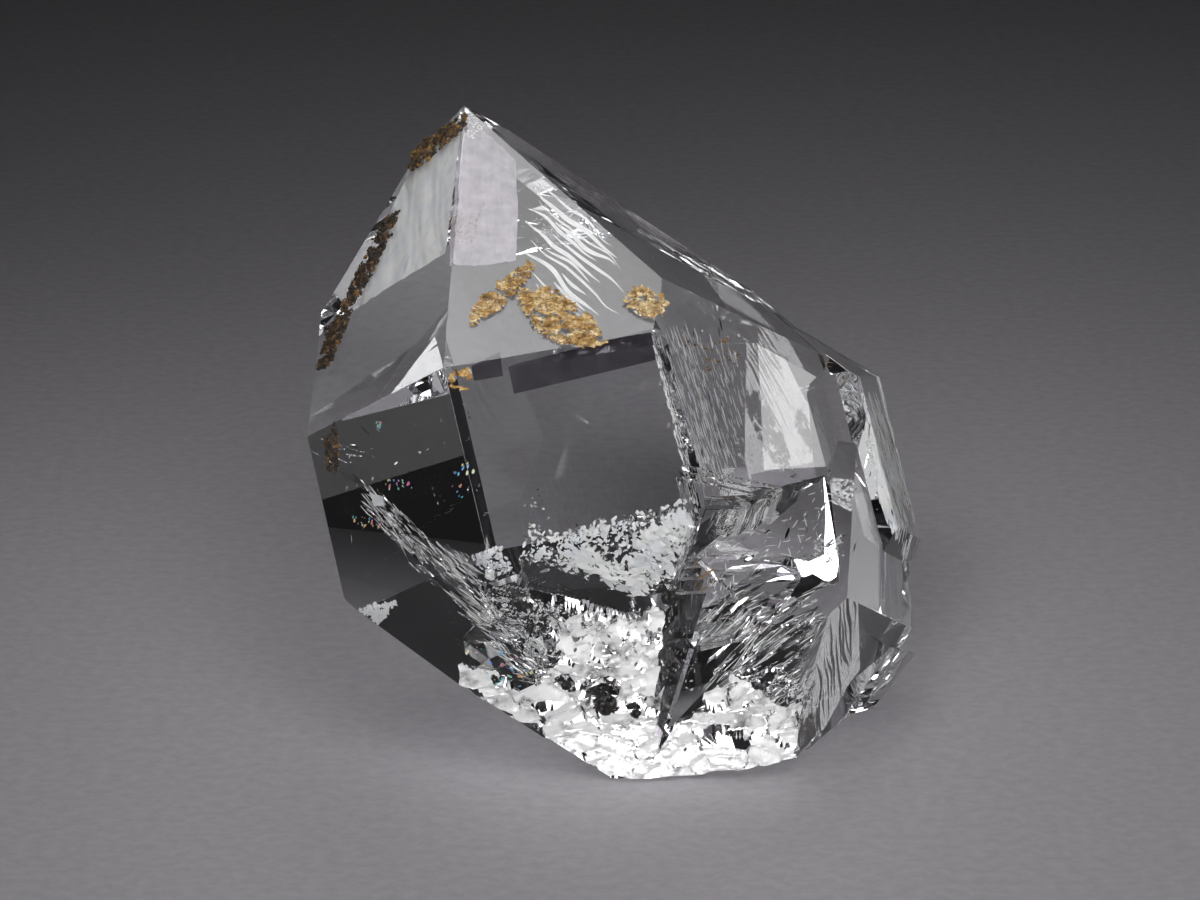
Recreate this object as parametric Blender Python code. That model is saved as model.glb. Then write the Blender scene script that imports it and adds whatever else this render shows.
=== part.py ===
# Herkimer diamond: one stubby, water-clear, doubly terminated quartz crystal with smaller crystals
# grown in parallel on its lower right, a chipped lower front, rusty crusts and tiny black grains.
# Run with: blender --background --python part.py. Metres, +Z up, seen from the front along +Y.
import math

import bmesh
import bpy
from mathutils import Matrix, Vector, noise

MM = 0.001

# How the crystal stands. Its long axis c leans back and to the left of upright.
LEAN_BACK_FIRST = 12.3
LEAN_LEFT = 13.5
LEAN_BACK_AFTER = 17.0
SPIN = 15.5
CENTRE_HEIGHT = 13.9

# Polar angles of quartz faces from the c axis, in degrees.
PRISM = 90.0
UPPER = 51.8
UNDER = 128.2

# Each face is (polar angle, azimuth about c from the front, distance from the centre in mm).
MAIN_CRYSTAL = {
    "front prism": (PRISM, 0.0, 9.15),
    "right prism": (89.4, 51.5, 6.45),
    "back right prism": (PRISM, 120.0, 16.2),
    "back prism": (PRISM, 180.0, 14.0),
    "back left prism": (PRISM, -120.0, 10.65),
    "left prism": (PRISM, -60.0, 11.8),
    "front top": (UPPER, 0.0, 8.8),
    "right top": (53.2, 55.3, 8.1),
    "right top step": (83.3, 52.3, 6.85),
    "back right top": (UPPER, 120.0, 18.3),
    "back top": (UPPER, 180.0, 14.45),
    "tip": (28.3, -149.4, 16.65),
    "back left top": (UPPER, -120.0, 14.15),
    "left top": (UPPER, -60.0, 10.9),
    "front under": (UNDER, 0.0, 10.6),
    "right under": (UNDER, 60.0, 7.5),
    "back right under": (UNDER, 120.0, 14.7),
    "back under": (UNDER, 180.0, 16.0),
    "back left under": (UNDER, -120.0, 11.3),
    "left under": (UNDER, -60.0, 12.7),
}
# The smaller crystals share the main one's centre and axes, as parallel growth does.
RIGHT_CRYSTAL = {
    "front prism": (PRISM, 0.0, -5.45),
    "right prism": (PRISM, 60.0, 9.65),
    "back right prism": (PRISM, 120.0, 18.9),
    "back prism": (PRISM, 180.0, 12.5),
    "left side": (PRISM, -60.0, -11.0),
    "right top": (44.4, 50.4, 7.05),
    "front top": (33.6, -3.0, -1.05),
    "front under": (UNDER, 0.0, -0.75),
    "right under": (UNDER, 60.0, 10.5),
    "back under": (UNDER, 180.0, 12.0),
}
LOWER_CRYSTAL = {
    "front under": (UNDER, 0.0, 10.3),
    "right under": (UNDER, 60.0, 12.6),
    "back right under": (UNDER, 120.0, 18.2),
    "back left under": (UNDER, -120.0, 10.2),
    "right prism": (PRISM, 60.0, 8.85),
    "back prism": (PRISM, 180.0, 8.5),
    "left side": (PRISM, -60.0, -0.6),
    "chipped top": (52.2, 18.0, -1.2),
}
EDGE_PLATE = {
    "front prism": (PRISM, 0.0, -6.6),
    "outer edge": (99.5, 82.0, 14.85),
    "inner side": (81.2, -109.4, -11.55),
    "front top": (UPPER, 0.0, -6.7),
    "front under": (142.8, -0.9, 1.8),
    "back": (77.7, 164.5, 5.5),
    "foot": (156.8, 125.6, 14.05),
}
EDGE_BUD = {
    "front prism": (PRISM, 0.0, -5.95),
    "right prism": (PRISM, 60.0, 8.85),
    "outer edge": (86.0, 97.7, 13.65),
    "inner side": (89.1, -99.6, -11.95),
    "front top": (UPPER, 0.0, -10.2),
    "right top": (UPPER, 60.0, 1.25),
    "front under": (UNDER, 0.0, 1.95),
    "right under": (UNDER, 60.0, 13.35),
    "foot": (147.6, -125.6, 5.35),
    "back": (77.7, 164.5, 5.0),
}
EDGE_BLADE = {
    "front": (100.6, 6.2, -1.35),
    "outer edge": (140.7, 88.0, 16.7),
    "inner side": (43.7, -100.9, -15.15),
    "tip": (161.3, -134.4, 11.2),
    "top": (35.7, 45.9, -5.05),
    "back": (77.7, 164.5, 6.0),
}

# Hollows of stepped growth in the lower right face: the centre, the half sizes of the first step,
# and how many steps. Each next step is smaller and deeper. Sizes are in mm along the face.
HOLLOWS = (
    ((-1.2, -1.5), (4.7, 2.4), 4),
    ((8.6, 1.5), (2.9, 1.2), 3),
)
HOLLOW_TURN = 8.5
HOLLOW_SHRINK = 0.78
HOLLOW_DEPTH = 0.3
# Growth ledges along the top of that face: how far each is above the next, and how deep.
LEDGE_COUNT = 3
LEDGE_RISE = 0.2
LEDGE_DEPTH = 0.16

# The chipped lower front, and the underside with its small flat spot, in mm.
BREAK_FACING = (0.086, -0.860, -0.503)
BREAK_DISTANCE = 11.1
BREAK_CELL = 1.5
BREAK_RELIEF = 0.42
BREAK_GRID = 0.62
SPOT_CENTRE = (1.7, 1.6)
SPOT_RADII = (4.6, 5.8)
SPOT_SLOPE = 0.2
UNDERSIDE_CELL = 2.2
UNDERSIDE_RELIEF = 0.3
UNDERSIDE_GRID = 0.95
SHEET_REACH = 18.0
SHEET_DEPTH = 14.0

# A crust or a grain keeps this clear of the quartz.
CREVICE = 0.3

# Rusty crusts: the face each lies on, its centre, half sizes, turn in degrees and height in mm.
CRUSTS = {
    "crust_tip": ("left top", (-4.0, 11.6), (1.6, 0.7), 21.0, 0.45),
    "crust_left_upper": ("left top", (-5.8, 5.3), (0.55, 2.3), -9.0, 0.45),
    "crust_left_lower": ("left top", (-6.3, 1.0), (0.5, 1.9), -3.0, 0.4),
    "crust_left_prism": ("left prism", (-4.0, 1.6), (0.35, 0.95), -12.0, 0.35),
    "crust_oval": ("front top", (-2.55, -1.6), (0.9, 1.95), 17.0, 0.5),
    "crust_streak": ("front top", (-4.45, 0.75), (2.0, 0.42), 42.0, 0.35),
    "crust_corner": ("front prism", (-7.75, 1.95), (0.4, 0.35), 0.0, 0.3),
    "crust_edge_top": ("front top", (1.35, -1.65), (0.7, 0.85), 0.0, 0.35),
}
CRUST_SPOKES = 20
CRUST_RINGS = 4
CRUST_RAGGED = 0.28

# Black grains in open pits: the face each lies on, its place there and its radius in mm.
GRAINS = {
    "grain_large": ("break", (-1.85, -3.35), 0.55),
    "grain_upper": ("break", (-3.15, -1.9), 0.25),
    "grain_lower": ("break", (-0.85, -4.55), 0.25),
    "grain_high": ("front under", (-0.45, -2.4), 0.42),
}
GRAIN_ROUGHNESS = 0.5


def face_normal(polar, azimuth):
    """Outward direction of a face, in the crystal's own axes: right, back and up along c."""
    p, a = math.radians(polar), math.radians(azimuth + SPIN)
    return Vector((math.sin(p) * math.sin(a), -math.sin(p) * math.cos(a), math.cos(p)))


def crystal_turn():
    """Rotation from the crystal's own axes to the axes of the world."""
    first = Matrix.Rotation(math.radians(-LEAN_BACK_FIRST), 3, "X")
    side = Matrix.Rotation(math.radians(-LEAN_LEFT), 3, "Y")
    after = Matrix.Rotation(math.radians(-LEAN_BACK_AFTER), 3, "X")
    return after @ side @ first


TURN = crystal_turn()
CENTRE = Vector((0.0, 0.0, CENTRE_HEIGHT))
C_AXIS = TURN @ Vector((0.0, 0.0, 1.0))


class Face:
    """A flat face of the main crystal, or its chipped lower front."""

    def __init__(self, name):
        if name == "break":
            self.outward, distance = Vector(BREAK_FACING).normalized(), BREAK_DISTANCE
        else:
            polar, azimuth, distance = MAIN_CRYSTAL[name]
            self.outward = TURN @ face_normal(polar, azimuth)
        self.origin = CENTRE + self.outward * distance
        self.right = C_AXIS.cross(self.outward).normalized()
        self.up = self.outward.cross(self.right)

    def point(self, u, v, lift=0.0):
        """A point at u to the right and v up the slope, lifted off the face."""
        return self.origin + self.right * u + self.up * v + self.outward * lift


def turned(centre, x, y, degrees):
    """The point x, y about a centre, turned anticlockwise."""
    swing = math.radians(degrees)
    return (centre[0] + x * math.cos(swing) - y * math.sin(swing),
            centre[1] + x * math.sin(swing) + y * math.cos(swing))


def material(name, colour, roughness, transmission=0.0):
    made = bpy.data.materials.new(name)
    made.use_nodes = True
    shader = made.node_tree.nodes["Principled BSDF"]
    shader.inputs["Base Color"].default_value = (*colour, 1.0)
    shader.inputs["Roughness"].default_value = roughness
    shader.inputs["Metallic"].default_value = 0.0
    shader.inputs["Transmission Weight"].default_value = transmission
    made.diffuse_color = (*colour, 1.0)
    return made


def add_object(name, shape, finish=None):
    """Turns a bmesh in millimetres into an object in metres."""
    bmesh.ops.recalc_face_normals(shape, faces=shape.faces)
    bmesh.ops.scale(shape, vec=(MM, MM, MM), verts=shape.verts)
    mesh = bpy.data.meshes.new(name)
    shape.to_mesh(mesh)
    shape.free()
    if finish:
        mesh.materials.append(finish)
    made = bpy.data.objects.new(name, mesh)
    bpy.context.scene.collection.objects.link(made)
    return made


def crystal(name, faces, finish=None):
    """A closed crystal: a block trimmed by each of its flat faces."""
    shape = bmesh.new()
    bmesh.ops.create_cube(shape, size=80.0)
    bmesh.ops.translate(shape, vec=CENTRE, verts=shape.verts)
    for polar, azimuth, distance in faces.values():
        normal = TURN @ face_normal(polar, azimuth)
        geometry = shape.verts[:] + shape.edges[:] + shape.faces[:]
        cut = bmesh.ops.bisect_plane(
            shape, geom=geometry, dist=1e-5, plane_co=CENTRE + normal * distance,
            plane_no=normal, clear_outer=True)
        rim = [item for item in cut["geom_cut"] if isinstance(item, bmesh.types.BMEdge)]
        if rim:
            bmesh.ops.holes_fill(shape, edges=rim)
    return add_object(name, shape, finish)


def combine(target, tool, operation):
    """Joins a helper shape to the target or cuts it away, and hides the helper."""
    step = target.modifiers.new(tool.name, "BOOLEAN")
    step.operation = operation
    step.solver = "EXACT"
    step.object = tool
    tool.hide_render = True
    tool.display_type = "WIRE"


def chips(u, v, cell, seed):
    """Height of a chipped surface, from about -1 to 1: flat shards that tilt each their own way."""
    place = Vector((u / cell, v / cell, seed))
    site = noise.voronoi(place)[1][0]
    across = noise.noise(site * 7.3) * (place.x - site.x)
    along = noise.noise(site * 5.1 + Vector((9.0, 0.0, 0.0))) * (place.y - site.y)
    return noise.noise(site * 3.7) + 2.2 * across + 2.2 * along


def break_height(u, v):
    return BREAK_RELIEF * chips(u, v, BREAK_CELL, 2.5)


def underside_height(x, y):
    """Rise of the underside. Its shards stop at one level, which leaves the small flat spot."""
    off = math.hypot((x - SPOT_CENTRE[0]) / SPOT_RADII[0], (y - SPOT_CENTRE[1]) / SPOT_RADII[1])
    beyond = max(0.0, off - 1.0)
    rough = UNDERSIDE_RELIEF * (1.0 + chips(x, y, UNDERSIDE_CELL, 7.5))
    return max(0.0, SPOT_SLOPE * beyond * min(SPOT_RADII) + rough * min(1.0, 4.0 * beyond))


def sheet(name, spacing, near_point, far_point):
    """A closed cutter whose inner side is a rough sheet and whose outer side is flat."""
    count = int(2 * SHEET_REACH / spacing)
    steps = [-SHEET_REACH + number * spacing for number in range(count + 1)]
    shape = bmesh.new()
    near = [[shape.verts.new(near_point(u, v)) for u in steps] for v in steps]
    for row, above in zip(near, near[1:]):
        for i in range(count):
            shape.faces.new((row[i], row[i + 1], above[i + 1], above[i]))
    rim = [edge for edge in shape.edges if edge.is_boundary]
    walls = bmesh.ops.extrude_edge_only(shape, edges=rim)
    outer = [item for item in walls["geom"] if isinstance(item, bmesh.types.BMVert)]
    place = {vert: index for index, vert in enumerate(near_corner for row in near for near_corner in row)}
    for vert in outer:
        partner = next(edge.other_vert(vert) for edge in vert.link_edges
                       if edge.other_vert(vert) in place)
        row, column = divmod(place[partner], count + 1)
        vert.co = far_point(steps[column], steps[row])
    bmesh.ops.holes_fill(shape, edges=[edge for edge in shape.edges if edge.is_boundary])
    return add_object(name, shape)


def front_break():
    face = Face("break")
    return sheet("cut_front_break", BREAK_GRID,
                 lambda u, v: face.point(u, v, break_height(u, v)),
                 lambda u, v: face.point(u, v, SHEET_DEPTH))


def underside():
    return sheet("cut_underside", UNDERSIDE_GRID,
                 lambda x, y: Vector((x, y, underside_height(x, y))),
                 lambda x, y: Vector((x, y, -SHEET_DEPTH)))


def sunk_cutter(name, face, outline, depth):
    """A straight-sided cutter through a face: an outline in the face, sunk to a depth."""
    clear_above = 6.0
    shape = bmesh.new()
    inner = shape.faces.new([shape.verts.new(face.point(u, v, -depth)) for u, v in outline])
    block = bmesh.ops.extrude_face_region(shape, geom=[inner])
    raised = [item for item in block["geom"] if isinstance(item, bmesh.types.BMVert)]
    bmesh.ops.translate(shape, vec=face.outward * (clear_above + depth), verts=raised)
    return add_object(name, shape)


def hollows():
    """Rectangular steps of hopper growth, one inside another, in the lower right face."""
    face = Face("right under")
    for place, (centre, half, steps) in enumerate(HOLLOWS, 1):
        for step in range(steps):
            scale = HOLLOW_SHRINK ** step
            corners = ((-1, -1), (1, -1), (1, 1), (-1, 1))
            outline = [turned(centre, x * half[0] * scale, y * half[1] * scale, HOLLOW_TURN)
                       for x, y in corners]
            name = f"cut_hollow_{place}_{step + 1}"
            yield sunk_cutter(name, face, outline, HOLLOW_DEPTH * (step + 1))


def ledges():
    """Thin growth steps, each a strip lifted off the right prism just above the lower face."""
    face, lower = Face("right prism"), Face("right under")
    offset = (lower.origin - face.origin).dot(lower.outward)
    edge = offset / face.up.dot(lower.outward)
    reach = 30.0
    for number in range(1, LEDGE_COUNT + 1):
        top = edge + LEDGE_RISE * (LEDGE_COUNT + 1 - number)
        outline = [(-reach, top - reach), (reach, top - reach), (reach, top), (-reach, top)]
        yield sunk_cutter(f"cut_ledge_{number}", face, outline, LEDGE_DEPTH * number)


def crust(name, face_name, centre, radii, turn, height, finish):
    """A low lumpy crust with a ragged outline, just clear of the face that it grew on."""
    face = Face(face_name)
    seed = len(name) * 1.7 + centre[0]

    def place(ring, spoke, lift):
        angle = math.tau * spoke / CRUST_SPOKES
        around = Vector((math.cos(angle) * 1.9, math.sin(angle) * 1.9, seed))
        reach = ring / CRUST_RINGS * (1.0 + CRUST_RAGGED * noise.noise(around))
        x, y = radii[0] * reach * math.cos(angle), radii[1] * reach * math.sin(angle)
        return face.point(*turned(centre, x, y, turn), CREVICE + lift)

    def thickness(ring, spoke):
        fall = 1.0 - 0.75 * (ring / CRUST_RINGS) ** 2
        lump = 0.5 + 0.5 * noise.noise(Vector((ring * 1.3, spoke * 0.9, seed)))
        return height * fall * (0.55 + 0.45 * lump)

    shape = bmesh.new()
    crown = shape.verts.new(place(0, 0, height))
    rings = [[shape.verts.new(place(ring, spoke, thickness(ring, spoke)))
              for spoke in range(CRUST_SPOKES)] for ring in range(1, CRUST_RINGS + 1)]
    rings.append([shape.verts.new(place(CRUST_RINGS, spoke, 0.0)) for spoke in range(CRUST_SPOKES)])
    for spoke in range(CRUST_SPOKES):
        after = (spoke + 1) % CRUST_SPOKES
        shape.faces.new((crown, rings[0][spoke], rings[0][after]))
        for inner, outer in zip(rings, rings[1:]):
            shape.faces.new((inner[spoke], outer[spoke], outer[after], inner[after]))
    shape.faces.new(rings[-1])
    bmesh.ops.triangulate(shape, faces=shape.faces[:])
    return add_object(name, shape, finish)


def ball(name, centre, radius, roughness, finish=None):
    """A small angular lump, or the pit round one."""
    shape = bmesh.new()
    bmesh.ops.create_icosphere(shape, subdivisions=2, radius=1.0)
    for vert in shape.verts:
        wobble = 1.0 + roughness * noise.noise(vert.co * 1.7 + Vector((radius, 3.0, centre.x)))
        vert.co = centre + vert.co * (radius * wobble)
    return add_object(name, shape, finish)


def grain(name, body, face_name, place, radius):
    """A black grain, half sunk in an open pit of the quartz."""
    height = break_height(*place) if face_name == "break" else 0.0
    centre = Face(face_name).point(*place, height)
    black = material(f"{name} coal black", (0.02, 0.018, 0.015), 0.5)
    ball(name, centre, radius, GRAIN_ROUGHNESS, black)
    widest = radius * (1.0 + GRAIN_ROUGHNESS / 2)
    combine(body, ball(f"cut_pit_{name}", centre, widest + CREVICE, 0.0), "DIFFERENCE")


def centre_on_base(objects):
    """Moves everything so that the middle of the standing box's base is the origin."""
    graph = bpy.context.evaluated_depsgraph_get()
    shown = [item for item in objects if not item.hide_render]
    corners = [item.matrix_world @ vert.co
               for item in shown for vert in item.evaluated_get(graph).data.vertices]
    middle_x = (min(c.x for c in corners) + max(c.x for c in corners)) / 2
    middle_y = (min(c.y for c in corners) + max(c.y for c in corners)) / 2
    for item in objects:
        item.location -= Vector((middle_x, middle_y, 0.0))


def main():
    for item in list(bpy.data.objects):
        bpy.data.objects.remove(item)
    clear = material("clear quartz", (0.93, 0.94, 0.95), 0.03, transmission=1.0)
    body = crystal("quartz_crystal", MAIN_CRYSTAL, clear)
    for cutter in (*ledges(), *hollows()):
        combine(body, cutter, "DIFFERENCE")
    grown = {"right_crystal": RIGHT_CRYSTAL, "lower_crystal": LOWER_CRYSTAL,
             "edge_plate": EDGE_PLATE, "edge_bud": EDGE_BUD, "edge_blade": EDGE_BLADE}
    for name, faces in grown.items():
        combine(body, crystal(f"grown_{name}", faces), "UNION")
    combine(body, front_break(), "DIFFERENCE")
    combine(body, underside(), "DIFFERENCE")
    for name, (face_name, place, radius) in GRAINS.items():
        grain(name, body, face_name, place, radius)
    for name, (face_name, centre, radii, turn, height) in CRUSTS.items():
        rust = material(f"{name} rusty ochre", (0.42, 0.27, 0.1), 0.9)
        crust(name, face_name, centre, radii, turn, height, rust)
    centre_on_base(list(bpy.data.objects))


main()
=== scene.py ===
# Looks of the herkimer diamond: a clear, doubly terminated quartz crystal with growth ledges, inner
# veils and bubbles, a chipped lower front, rusty crusts and black grains, on a plain pale floor.
import math
import random

import bmesh
import bpy
from mathutils import Matrix, Vector, noise
from mathutils.bvhtree import BVHTree

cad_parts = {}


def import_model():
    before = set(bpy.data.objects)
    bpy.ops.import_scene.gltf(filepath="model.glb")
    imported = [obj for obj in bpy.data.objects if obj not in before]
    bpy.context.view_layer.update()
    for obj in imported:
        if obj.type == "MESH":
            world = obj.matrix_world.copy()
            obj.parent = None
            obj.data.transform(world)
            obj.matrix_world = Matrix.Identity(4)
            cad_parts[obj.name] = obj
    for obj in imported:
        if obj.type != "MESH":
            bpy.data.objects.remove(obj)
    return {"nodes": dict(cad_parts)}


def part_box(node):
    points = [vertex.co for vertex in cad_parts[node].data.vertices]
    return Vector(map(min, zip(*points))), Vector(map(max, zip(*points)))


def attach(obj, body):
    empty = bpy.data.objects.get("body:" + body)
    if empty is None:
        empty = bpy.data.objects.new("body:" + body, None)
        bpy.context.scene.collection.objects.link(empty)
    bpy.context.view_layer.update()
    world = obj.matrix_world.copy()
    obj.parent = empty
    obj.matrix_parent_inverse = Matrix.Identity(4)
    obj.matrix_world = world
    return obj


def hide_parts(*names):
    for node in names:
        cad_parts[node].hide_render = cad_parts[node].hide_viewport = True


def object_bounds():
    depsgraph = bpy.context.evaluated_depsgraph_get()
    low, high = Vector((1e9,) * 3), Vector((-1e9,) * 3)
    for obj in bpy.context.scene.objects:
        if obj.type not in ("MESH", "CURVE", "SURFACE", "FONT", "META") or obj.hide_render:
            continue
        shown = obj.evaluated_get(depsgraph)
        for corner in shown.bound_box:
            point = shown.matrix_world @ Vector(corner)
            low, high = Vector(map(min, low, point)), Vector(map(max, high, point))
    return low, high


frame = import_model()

CAD_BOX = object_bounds()
MM = 0.001
NODES = frame["nodes"]

# The photograph's frame and the camera that took it.
PHOTO_WIDTH, PHOTO_HEIGHT = 1200, 900
LENS = 165.7
SENSOR = 36.0
CAMERA_DISTANCE = 0.243
CAMERA_ELEVATION = 17.0
CRYSTAL_CENTRE = Vector((-0.001053, -0.002627, 0.0139))
# How its long axis leans from upright, in degrees, from the last turn to the first.
CRYSTAL_LEANS = ((-17.0, "X"), (-13.5, "Y"), (-12.3, "X"))
CAMERA_TILT = math.radians(CAMERA_ELEVATION)
LINE_OF_SIGHT = Vector((0.0, math.cos(CAMERA_TILT), -math.sin(CAMERA_TILT)))
PICTURE_RIGHT = Vector((1.0, 0.0, 0.0))
PICTURE_UP = PICTURE_RIGHT.cross(LINE_OF_SIGHT)

# The chipped lower front, in mm: its direction and distance, its coarse shards, how far its cutter
# reaches around which middle, and the largest face in square mm that counts as a chip.
BREAK_FACING = Vector((0.086, -0.860, -0.503)).normalized()
BREAK_DISTANCE = 11.1
BREAK_CELL = 1.5
BREAK_RELIEF = 0.42
CHIP_TILT = 2.2
BREAK_REACH = 10.0
BREAK_MIDDLE = (1.5, -1.0)
LARGEST_CHIP = 0.5
# Its fine finish: how far it lies below the coarse surface, between which places it begins on the
# left, and how far it is lifted clear of the stone to the left of them.
SKIN = 0.25
FINE_FROM, FINE_FULL = -6.2, -3.6
OFF_SURFACE = 0.9
# Where it is crumbly and milky, in the photograph's pixels. Elsewhere it has long clear ridges.
MILKY = ((548, 622), (585, 612), (633, 628), (640, 600), (660, 575), (690, 580), (712, 640), (745, 690),
         (800, 712), (835, 745), (790, 790), (690, 800), (590, 780), (530, 730), (470, 700), (395, 650),
         (400, 636), (470, 668), (530, 690), (560, 665))
STREAK_TURN = math.radians(42)
# A smooth facet left in it, dark from some sides: its outline in the photograph's pixels.
WINDOW = ((519, 566), (558, 551), (636, 598), (632, 626), (582, 612), (530, 601))
WINDOW_DEPTH = 0.62
# The finish's grid, the small shards and where they are, the ripples and the finest relief.
FINE_STEP = 0.13
CRUMB_CELL = 0.62
CRUMB_RELIEF = 0.3
CRUMB_MIDDLE, CRUMB_RADII = (1.2, 1.2), (3.4, 3.2)
RIPPLE_RELIEF = 0.2
FINE_RELIEF = 0.05
# The clear ridges: height and how close they are, for the broad and the narrow ones.
STREAK_WAVES = ((0.12, 2.8), (0.05, 8.3))
STREAK_SINK = 0.1
# How far the cut reaches outward, and how near its surface a face counts as part of it.
CUT_THROUGH = 12.0
ON_THE_BREAK = 0.06
COARSE_SEED, CRUMB_SEED = 2.5, 4.5

# Edges sharper than an angle, between faces larger than a size in square mm, are worn by a hair.
EDGE_WEAR = 0.035
BROAD_FACE = 1.0
SHARP_ANGLE = math.radians(12)
FLAT_ANGLE = math.radians(0.6)
QUARTZ_IOR = 1.544
# Sheets inside the crystal, in mm: how thick they are, and how much quartz has to cover them. Then
# each flake's share of the size in its row, and how far it leans in degrees.
VOID_THICKNESS = 0.012
FLAKE_THICKNESS = 0.01
LEAST_COVER = 0.03
FLAKE_SHARES = (0.35, 1.0)
FLAKE_LEAN = 12

# Sealed cracks. Each row: outline in the photograph's pixels, depths in mm behind the surface,
# number, length and width in mm, direction in degrees on the picture and how it spreads, and how far
# the flakes tilt away from the camera.
CRACKS = {
    "crackle": (((520, 562), (560, 545), (640, 515), (699, 492), (699, 560), (650, 600), (560, 575)),
                (0.4, 2.6), 260, (0.3, 0.16), (20, 180), (35, 80)),
    "bright crackle": (((628, 520), (697, 505), (697, 575), (640, 590)),
                       (0.3, 1.4), 90, (0.32, 0.2), (20, 180), (35, 75)),
    "upper feather": (((367, 489), (384, 495), (430, 540), (480, 570), (470, 590), (400, 545), (365, 512)),
                      (0.4, 2.4), 90, (1.0, 0.13), (-38, 14), (35, 80)),
    "second lobe": (((395, 530), (470, 585), (470, 600), (400, 560)),
                    (0.5, 2.0), 40, (0.8, 0.13), (-38, 16), (35, 80)),
    "lower feather": (((450, 595), (480, 590), (550, 655), (545, 680), (500, 660)),
                      (0.4, 2.2), 90, (1.1, 0.14), (-42, 14), (35, 80)),
    "glints": (((372, 420), (470, 400), (475, 510), (352, 530), (330, 470)),
               (0.5, 3.5), 40, (0.14, 0.1), (20, 180), (30, 75)),
    "streaks": (((312, 441), (367, 438), (367, 462), (315, 464)),
                (0.4, 1.8), 14, (0.9, 0.06), (-8, 10), (35, 75)),
    "left of the right face": (((660, 325), (745, 325), (752, 374), (735, 455), (700, 480), (668, 370)),
                               (0.4, 2.2), 46, (0.42, 0.28), (78, 8), (20, 60)),
    "dark streaks": (((676, 374), (735, 374), (735, 458), (690, 458)),
                     (0.4, 1.8), 26, (0.9, 0.09), (84, 8), (25, 70)),
    "ledge blades": (((705, 505), (835, 480), (838, 570), (700, 590)),
                     (0.4, 2.4), 40, (0.8, 0.2), (40, 14), (25, 75)),
    "lower blades": (((700, 600), (808, 590), (830, 640), (790, 700), (720, 690)),
                     (0.3, 2.2), 90, (1.2, 0.26), (38, 8), (25, 75)),
    "right streaks": (((862, 390), (890, 400), (910, 470), (908, 520), (880, 500)),
                      (0.3, 1.6), 40, (0.8, 0.1), (82, 8), (30, 75)),
}
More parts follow.
